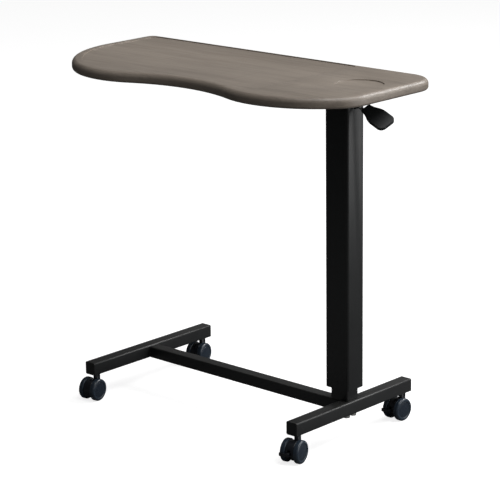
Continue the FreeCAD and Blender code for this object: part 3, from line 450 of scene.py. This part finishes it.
class Finishes:
    """One material for each slot of the record, and one for the top's backing sheet."""

    def __init__(self) -> None:
        """Builds every material."""
        black = (0.0105, 0.0115, 0.0120)
        steel = (0.60, 0.60, 0.58)
        kinds = [
            Coating("frame_black", black, 0.40, wear_and_highlight=0.25, grain_scale=1500.0),
            Coating("cap_plastic", (0.006, 0.006, 0.0065), 0.52, wear_and_highlight=0.1, grain_scale=2600.0),
            Metal("zinc_steel", steel, 0.34),
            Metal("chromed_rod", (0.78, 0.79, 0.80), 0.10, tarnish=(0.70, 0.71, 0.72)),
            Coating("spring_barrel", (0.012, 0.012, 0.013), 0.26, grain_scale=500.0),
            Coating("piston_seal", (0.02, 0.02, 0.02), 0.6, wear_and_highlight=0.0),
            Coating("glide_nylon", (0.014, 0.014, 0.015), 0.5, wear_and_highlight=0.05, grain_scale=2200.0),
            OakFilm("oak_laminate", (0.260, 0.220, 0.183), 0.38),
            Coating(
                "lever_plastic",
                (0.0080, 0.0090, 0.0104),
                0.50,
                specular=0.22,
                wear_and_highlight=0.15,
                grain_scale=2400.0,
            ),
            # The hood's colour is the wheels' slate blue darkened about fourfold: painted shade for a
            # hood that sits less lit.
            Coating("hood_plastic", (0.0052, 0.0070, 0.0115), 0.27, wear_and_highlight=0.2, grain_scale=1800.0),
            Metal("axle_steel", (0.56, 0.57, 0.58), 0.24, tarnish=(0.45, 0.45, 0.45)),
            # On the wheels and their caps the light blue-grey edge tint is a painted highlight on the
            # rims, strongest on the wheels.
            Coating(
                "wheel_slate",
                (0.0200, 0.0310, 0.0470),
                0.25,
                wear_and_highlight_tint=(0.08, 0.10, 0.13),
                wear_and_highlight=0.8,
                dust=0.02,
            ),
            Coating(
                "wheel_cap_slate",
                (0.0140, 0.0220, 0.0350),
                0.27,
                wear_and_highlight_tint=(0.05, 0.06, 0.08),
                dust=0.02,
            ),
        ]
        self.by_slot = {kind.name: kind.make() for kind in kinds}
        backing = Coating("backing_sheet", (0.20, 0.19, 0.18), 0.5, wear_and_highlight=0.0, grain_scale=900.0)
        self.backing = backing.make()

    def dress(self, piece: bpy.types.Object, slot: str) -> None:
        """Gives the piece the slot's material."""
        piece.data.materials.clear()
        piece.data.materials.append(self.by_slot[slot])


# Mesh work ----------------------------------------------------------------------------------


class Bench:
    """Selection, edit mode and the mesh operations that the pieces share."""

    @staticmethod
    def hold(piece: bpy.types.Object) -> None:
        """Goes to object mode, deselects everything else and makes the piece active."""
        if bpy.context.mode != "OBJECT":
            bpy.ops.object.mode_set(mode="OBJECT")
        bpy.ops.object.select_all(action="DESELECT")
        piece.select_set(True)
        bpy.context.view_layer.objects.active = piece

    @staticmethod
    def edit(piece: bpy.types.Object, *steps: tuple) -> None:
        """Runs mesh operators on the whole piece in edit mode.

        Args:
            piece: the object.
            steps: pairs of an operator's name and its settings.
        """
        Bench.hold(piece)
        bpy.ops.object.mode_set(mode="EDIT")
        bpy.ops.mesh.select_all(action="SELECT")
        for name, settings in steps:
            getattr(bpy.ops.mesh, name)(**settings)
        bpy.ops.object.mode_set(mode="OBJECT")

    @staticmethod
    def pick(piece: bpy.types.Object, kind: str, chosen: Callable[[object], bool]) -> None:
        """Goes to edit mode and selects the edges or faces that pass a test."""
        Bench.hold(piece)
        bpy.ops.object.mode_set(mode="EDIT")
        modes = {"edges": "EDGE", "faces": "FACE"}
        bpy.ops.mesh.select_mode(type=modes[kind])
        bpy.ops.mesh.select_all(action="DESELECT")
        mesh = bmesh.from_edit_mesh(piece.data)
        for item in getattr(mesh, kind):
            if chosen(item):
                item.select_set(True)
        bmesh.update_edit_mesh(piece.data)

    @staticmethod
    def leave() -> None:
        """Goes back to object mode."""
        bpy.ops.object.mode_set(mode="OBJECT")

    @staticmethod
    def modify(piece: bpy.types.Object, kind: str, **settings: object) -> None:
        """Adds one modifier and applies it."""
        Bench.hold(piece)
        made = piece.modifiers.new(kind.lower(), kind)
        for name, value in settings.items():
            setattr(made, name, value)
        bpy.ops.object.modifier_apply(modifier=made.name)

    @staticmethod
    def smooth(piece: bpy.types.Object, degrees: float = 38.0) -> None:
        """Shades the piece smooth, apart from edges sharper than the angle."""
        Bench.hold(piece)
        bpy.ops.object.shade_smooth_by_angle(angle=math.radians(degrees))

    @staticmethod
    def settle(piece: bpy.types.Object) -> None:
        """Puts the piece's place into its mesh, so that its object sits at the origin."""
        Bench.hold(piece)
        bpy.ops.object.transform_apply(location=True, rotation=True, scale=True)

    @staticmethod
    def joined(pieces: list[bpy.types.Object], name: str) -> bpy.types.Object:
        """Joins pieces into the first, under a new name."""
        Bench.hold(pieces[0])
        for piece in pieces:
            piece.select_set(True)
        bpy.ops.object.join()
        pieces[0].name = name
        return pieces[0]

    @staticmethod
    def eased(node: str, width: float, segments: int = 2, angle: float = 32.0) -> bpy.types.Object:
        """A copy of a CAD piece with its sharp edges eased, which stands for the piece.

        Args:
            node: the CAD node's name.
            width: how wide the eased edge is.
            segments: how many faces cross the eased edge.
            angle: edges sharper than this, in degrees, are eased.

        Returns:
            The copy.
        """
        source = bpy.data.objects[node]
        copy = bpy.data.objects.new(f"{node}_eased", source.data.copy())
        bpy.context.scene.collection.objects.link(copy)
        Bench.hold(copy)
        bpy.ops.mesh.customdata_custom_splitnormals_clear()
        Bench.edit(
            copy,
            ("remove_doubles", {"threshold": 0.004 * MM}),
            ("dissolve_limited", {"angle_limit": math.radians(0.4)}),
        )
        Bench.modify(
            copy,
            "BEVEL",
            width=width,
            segments=segments,
            limit_method="ANGLE",
            angle_limit=math.radians(angle),
            use_clamp_overlap=True,
        )
        Bench.smooth(copy)
        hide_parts(node)
        return copy


@dataclass
class Assembly:
    """A sub-assembly: it knows the frame and the finishes and reports its pieces."""

    frame: dict
    finishes: Finishes
    made: list[str] = field(default_factory=list)

    def keep(self, piece: bpy.types.Object, body: str, slot: str) -> bpy.types.Object:
        """Finishes a new piece: its slot's material, its body and a line in the log."""
        self.finishes.dress(piece, slot)
        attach(piece, body)
        self.made.append(piece.name)
        LOG.info("%s: %d faces on %s", piece.name, len(piece.data.polygons), body)
        return piece

    def ease(self, node: str, width: float, **how: object) -> bpy.types.Object:
        """Eases a CAD piece and keeps it on its own body with its own slot."""
        body = self.frame["nodes"][node]["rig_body"]
        piece = Bench.eased(node, width, **how)
        return self.keep(piece, body, self.slot_of(node))

    def slot_of(self, node: str) -> str:
        """The record's material slot of a CAD node."""
        parts = self.frame["record"]["subparts"]
        return next(part["material_slot"] for part in parts if part["node"] == node)


# Sub-assemblies -----------------------------------------------------------------------------


@dataclass
class Tabletop(Assembly):
    """The board in oak film, its recesses coved, with a plain backing sheet below."""

    cove: float = 1.7 * MM
    cove_segments: int = 4
    cove_angle: float = 50.0
    backing_depth: float = 0.5 * MM
    facing_down: float = -0.9
    shading_angle: float = 24.0

    def build(self) -> None:
        """Coves the recesses' edges and gives the underside its backing."""
        top = Bench.eased("tabletop_panel", self.cove, self.cove_segments, self.cove_angle)
        self.keep(top, "lift", "oak_laminate")
        top.data.materials.append(self.finishes.backing)
        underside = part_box("tabletop_panel")[0].z + self.backing_depth
        for face in top.data.polygons:
            if face.normal.z < self.facing_down and face.center.z < underside:
                face.material_index = 1
        Bench.smooth(top, self.shading_angle)


@dataclass
class Base(Assembly):
    """Feet, stretcher, end caps, caster fixings and the column's foot bolts."""

    stretcher_edge: float = 0.3 * MM
    foot_edge: float = 0.25 * MM
    cap_edge: float = 0.35 * MM
    bolt_edge: float = 0.5 * MM
    column_washer_edge: float = 0.25 * MM
    stem_washer_edge: float = 0.3 * MM
    weld_inset: float = 3.5 * MM
    bead_radius: float = 1.5 * MM
    bead_pitch: float = 2.2 * MM
    bead_sides: int = 12
    bead_ripple: float = 0.14
    bead_end_inset: float = 0.55
    narrowest: float = 0.08
    fewest_ripples: int = 4
    rings_per_ripple: int = 4
    whole_length: float = 0.9
    bead_shading: float = 60.0

    def build(self) -> None:
        """Eases the steel and the caps and lays the weld beads."""
        self.ease("stretcher_tube", self.stretcher_edge, angle=SQUARE)
        for side in ("left", "right"):
            self.ease(f"{side}_foot_tube", self.foot_edge, angle=SQUARE)
            for end in ("front", "rear"):
                self.ease(f"{side}_{end}_end_cap", self.cap_edge, segments=3, angle=40.0)
        self.ease("column_bolts", self.bolt_edge)
        self.ease("column_bolt_washers", self.column_washer_edge, angle=50.0)
        self.ease("caster_stem_washers", self.stem_washer_edge, angle=50.0)
        self.weld_beads()

    def weld_beads(self) -> None:
        """Rippled beads on three sides of each joint between stretcher and foot."""
        low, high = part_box("stretcher_tube")
        inset = self.weld_inset
        for side, x in (("left", low.x), ("right", high.x)):
            joints = [
                (Vector((x, low.y + inset, high.z)), Vector((x, high.y - inset, high.z))),
                (Vector((x, low.y, low.z + inset)), Vector((x, low.y, high.z - inset))),
                (Vector((x, high.y, low.z + inset)), Vector((x, high.y, high.z - inset))),
            ]
            beads = [self.bead(start, end) for start, end in joints]
            weld = Bench.joined(beads, f"{side}_stretcher_weld")
            self.keep(weld, "root", "frame_black")

    def bead(self, start: Vector, end: Vector) -> bpy.types.Object:
        """One weld bead.

        Args:
            start: one end of the joint's line.
            end: the other end.

        Returns:
            A rod along the line, swollen in ripples and closed by rounded ends.
        """
        run = end - start
        direction = run.normalized()
        ripples = max(self.fewest_ripples, round(run.length / self.bead_pitch))
        bpy.ops.mesh.primitive_cylinder_add(
            vertices=self.bead_sides,
            radius=self.bead_radius,
            depth=run.length,
            location=(start + end) / 2,
            rotation=run.to_track_quat("Z", "Y").to_euler(),
        )
        rod = bpy.context.active_object
        Bench.settle(rod)

        def closes_end(face: bmesh.types.BMFace) -> bool:
            """Tells whether a face closes one end of the rod."""
            return abs(face.normal.dot(direction)) > self.whole_length

        def runs_along(edge: bmesh.types.BMEdge) -> bool:
            """Tells whether an edge runs from end to end."""
            span = edge.verts[0].co - edge.verts[1].co
            return abs(span.dot(direction)) > run.length * self.whole_length

        Bench.pick(rod, "faces", closes_end)
        bpy.ops.mesh.inset(thickness=self.bead_radius * self.bead_end_inset)
        Bench.pick(rod, "edges", runs_along)
        bpy.ops.mesh.subdivide(number_cuts=ripples * self.rings_per_ripple - 1)
        Bench.leave()
        for vertex in rod.data.vertices:
            along = (vertex.co - start).dot(direction)
            axis = start + direction * along
            wave = abs(math.sin(math.pi * along / self.bead_pitch))
            swell = 1.0 - self.bead_ripple * (1.0 - wave)
            near_end = min(along, run.length - along) / (2 * self.bead_radius)
            taper = math.sqrt(min(1.0, max(self.narrowest, near_end)))
            vertex.co = axis + (vertex.co - axis) * swell * taper
        Bench.smooth(rod, self.bead_shading)
        return rod


@dataclass
class Column(Assembly):
    """The telescopic column, its plates, gas spring and fixings."""

    tube_edge: float = 0.3 * MM
    plate_edge: float = 0.4 * MM
    pin_edge: float = 0.35 * MM
    screw_edge: float = 0.25 * MM
    screw_head_radius: float = 4.5 * MM
    recess: float = 2.6 * MM
    recess_width: float = 0.9 * MM
    rivet_rise: float = 13.0 * MM
    rivet_radius: float = 3.2 * MM
    rivet_height: float = 0.9 * MM
    rivet_sides: int = 40
    rivet_lift: float = 0.4
    dish_inset: float = 0.42
    dish_depth: float = 0.35
    rivet_edge: float = 0.3

    def build(self) -> None:
        """Eases the column's steel and cuts the screw heads' cross recesses."""
        for node in ("outer_column_tube", "inner_column_tube", "outer_tube_guide"):
            self.ease(node, self.tube_edge, angle=SQUARE)
        self.guide_rivets()
        self.ease("top_mounting_plate", self.plate_edge, angle=SQUARE)
        self.ease("lever_bracket", self.tube_edge, angle=SQUARE)
        self.ease("lever_pivot_pin", self.pin_edge, angle=50.0)
        screws = Bench.eased("top_plate_screws", self.screw_edge)
        self.cut_recesses(screws)
        self.keep(screws, "lift", "zinc_steel")

    def guide_rivets(self) -> None:
        """Two flat rivets, front and back, that hold the guide in the outer tube's mouth."""
        low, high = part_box("outer_column_tube")
        x = (low.x + high.x) / 2
        z = low.z + self.rivet_rise
        rivets = [
            self.rivet(Vector((x, low.y, z)), -1.0),
            self.rivet(Vector((x, high.y, z)), 1.0),
        ]
        pair = Bench.joined(rivets, "guide_rivets")
        Bench.smooth(pair)
        self.keep(pair, "lift", "frame_black")

    def rivet(self, spot: Vector, out: float) -> bpy.types.Object:
        """One rivet head with a shallow dish.

        Args:
            spot: where the rivet's axis meets the tube's wall.
            out: which way along Y is outwards, 1 or -1.

        Returns:
            The rivet head.
        """
        lift = Vector((0.0, out * self.rivet_height * self.rivet_lift, 0.0))
        bpy.ops.mesh.primitive_cylinder_add(
            vertices=self.rivet_sides,
            radius=self.rivet_radius,
            depth=self.rivet_height,
            location=spot + lift,
            rotation=(math.pi / 2, 0.0, 0.0),
        )
        head = bpy.context.active_object
        Bench.settle(head)
        Bench.pick(head, "faces", lambda face: face.normal.y * out > 0.9)
        bpy.ops.mesh.inset(thickness=self.rivet_radius * self.dish_inset)
        sink = -out * self.rivet_height * self.dish_depth
        bpy.ops.transform.translate(value=(0.0, sink, 0.0))
        Bench.leave()
        width = self.rivet_height * self.rivet_edge
        Bench.modify(head, "BEVEL", width=width, segments=3, limit_method="ANGLE")
        return head

    def cut_recesses(self, screws: bpy.types.Object) -> None:
        """Cuts a cross into each screw head's lower face."""
        low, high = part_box("top_plate_screws")
        head = self.screw_head_radius
        for x in (low.x + head, high.x - head):
            for y in (low.y + head, high.y - head):
                for turn in (0.0, math.pi / 2):
                    bpy.ops.mesh.primitive_cube_add(
                        size=1.0, location=(x, y, low.z), rotation=(0.0, 0.0, turn)
                    )
                    cutter = bpy.context.active_object
                    cutter.scale = (2 * self.recess, self.recess_width, 2 * self.recess_width)
                    Bench.settle(cutter)
                    Bench.modify(screws, "BOOLEAN", operation="DIFFERENCE", object=cutter)
                    bpy.data.objects.remove(cutter)
        Bench.smooth(screws)


@dataclass
class Lever(Assembly):
    """The steel release arm and the moulded paddle on its end."""

    arm_edge: float = 0.3 * MM
    paddle_edge: float = 0.5 * MM

    def build(self) -> None:
        """Eases the steel arm and the moulded paddle."""
        self.ease("lever_arm", self.arm_edge)
        self.ease("lever_paddle", self.paddle_edge)


@dataclass
class Caster(Assembly):
    """One twin-wheel caster: hood, wheels, caps, and the pedal where it has one."""

    name: str = "right_front"
    hood_edge: float = 0.4 * MM
    wheel_edge: float = 0.2 * MM
    cap_edge: float = 0.25 * MM
    pedal_edge: float = 0.7 * MM
    moulded_angle: float = 28.0

    def build(self) -> None:
        """Eases the hood, the wheels, their caps and the pedal."""
        self.ease(f"{self.name}_caster_hood", self.hood_edge, angle=50.0)
        for word in ("outer", "inner"):
            self.ease(f"{self.name}_{word}_wheel", self.wheel_edge, angle=self.moulded_angle)
            self.ease(f"{self.name}_{word}_cap", self.cap_edge, angle=self.moulded_angle)
        if f"{self.name}_brake_pedal" in self.frame["nodes"]:
            self.ease(f"{self.name}_brake_pedal", self.pedal_edge, segments=3)


class CadFinisher(Assembly):
    """Gives every CAD piece that still shows the material of its slot."""

    def build(self) -> None:
        """Dresses the CAD nodes that no new piece stands for."""
        for name, piece in self.frame["nodes"].items():
            if piece.hide_render:
                continue
            piece.data.materials.clear()
            piece.data.materials.append(self.finishes.by_slot[self.slot_of(name)])
            LOG.info("%s: CAD piece with %s", name, self.slot_of(name))


# Studio -------------------------------------------------------------------------------------


@dataclass(frozen=True)
class SoftBox:
    """One rectangular area light."""

    name: str
    place: Triple
    size: tuple[float, float]
    power: float

    def light(self, aim: Vector) -> None:
        """Adds the light, turned to face a point."""
        lamp = bpy.data.lights.new(self.name, "AREA")
        lamp.shape = "RECTANGLE"
        lamp.size, lamp.size_y = self.size
        lamp.energy = self.power
        box = bpy.data.objects.new(self.name, lamp)
        box.location = self.place
        box.rotation_euler = (Vector(self.place) - aim).to_track_quat("Z", "Y").to_euler()
        bpy.context.scene.collection.objects.link(box)


@dataclass
class Studio:
    """Pale floor, soft boxes and the camera."""

    azimuth: float = 42.637
    elevation: float = 15.386
    roll: float = -0.713
    lens: float = 152.8
    sensor: float = 36.0
    reach: float = 100.0
    eye: Triple = (2.9378, -3.1306, 1.5277)
    aim: Triple = (0.1, 0.0, 0.45)
    boxes: tuple[SoftBox, ...] = (
        SoftBox("side_light", (3.3, 1.7, 0.9), (3.0, 3.0), 60.0),
        SoftBox("back_light", (1.2, 3.0, 2.9), (2.2, 1.4), 85.0),
        SoftBox("top_light", (1.1, 0.2, 3.2), (2.4, 2.2), 60.0),
    )
    floor_size: float = 60.0
    floor_bounce: Colour = (0.14, 0.14, 0.14)
    floor_seen: Colour = (0.60, 0.60, 0.60)
    floor_glow: float = 0.80
    dim_side: float = 0.06
    bright_side: float = 0.34

    def build(self) -> None:
        """Sets up the floor, the surround, the lights and the camera."""
        self.floor()
        self.surround()
        for box in self.boxes:
            box.light(Vector(self.aim))
        self.camera()
        bpy.context.scene.view_settings.view_transform = "Standard"

    def floor(self) -> None:
        """A wide pale floor that shows its shadows and lights the table only weakly."""
        bpy.ops.mesh.primitive_plane_add(size=self.floor_size)
        plane = bpy.context.active_object
        plane.name = "studio_floor"
        material = bpy.data.materials.new("studio_floor")
        material.use_nodes = True
        graph = Graph(material.node_tree)
        shader = material.node_tree.nodes["Principled BSDF"]
        seen = graph.add("LightPath").outputs["Is Camera Ray"]
        colour = graph.blend(seen, self.floor_bounce, self.floor_seen)
        glow = graph.maths("MULTIPLY", seen, self.floor_glow)
        graph.tree.links.new(colour, shader.inputs["Base Color"])
        graph.tree.links.new(glow, shader.inputs["Emission Strength"])
        shader.inputs["Roughness"].default_value = 0.9
        shader.inputs["Specular IOR Level"].default_value = 0.0
        shader.inputs["Emission Color"].default_value = (1.0, 1.0, 1.0, 1.0)
        plane.data.materials.append(material)

    def surround(self) -> None:
        """A white backdrop to the eye, dim towards the left and front for the reflections."""
        world = bpy.data.worlds.new("studio_surround")
        world.use_nodes = True
        bpy.context.scene.world = world
        graph = Graph(world.node_tree)
        shader = world.node_tree.nodes["Background"]
        where = graph.add("TexCoord").outputs["Generated"]
        split = graph.add("SeparateXYZ", {0: where})
        behind = graph.maths("MULTIPLY", split.outputs["Y"], 0.6)
        side = graph.maths("ADD", split.outputs["X"], behind)
        glow = graph.ranged(side, -0.7, 1.0, self.dim_side, self.bright_side)
        seen = graph.add("LightPath").outputs["Is Camera Ray"]
        level = graph.blend(seen, glow, (1.0, 1.0, 1.0))
        graph.tree.links.new(level, shader.inputs["Color"])

    def camera(self) -> None:
        """The camera, at the viewing angle of a catalogue picture."""
        angles = (self.azimuth, self.elevation, self.roll)
        turn, lift, tilt = (math.radians(angle) for angle in angles)
        forward = Vector(
            (-math.sin(turn) * math.cos(lift), math.cos(turn) * math.cos(lift), -math.sin(lift))
        )
        right = Vector((math.cos(turn), math.sin(turn), 0.0))
        up = right.cross(forward)
        level = Matrix((right, up, -forward)).transposed()
        lens = bpy.data.cameras.new("view")
        lens.lens = self.lens
        lens.sensor_width = self.sensor
        lens.clip_end = self.reach
        viewer = bpy.data.objects.new("view", lens)
        spin = Matrix.Rotation(tilt, 3, "Z")
        viewer.matrix_world = Matrix.Translation(Vector(self.eye)) @ (level @ spin).to_4x4()
        bpy.context.scene.collection.objects.link(viewer)
        bpy.context.scene.camera = viewer


def main() -> None:
    """Builds the table's looks and the studio."""
    logging.basicConfig(level=logging.INFO, format="%(name)s | %(message)s", force=True)
    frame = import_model()
    finishes = Finishes()
    bpy.ops.object.select_all(action="DESELECT")
    Tabletop(frame, finishes).build()
    Base(frame, finishes).build()
    Column(frame, finishes).build()
    Lever(frame, finishes).build()
    for name in ("left_front", "left_rear", "right_front", "right_rear"):
        Caster(frame, finishes, name=name).build()
    CadFinisher(frame, finishes).build()
    Studio().build()


if __name__ == "__main__":
    main()
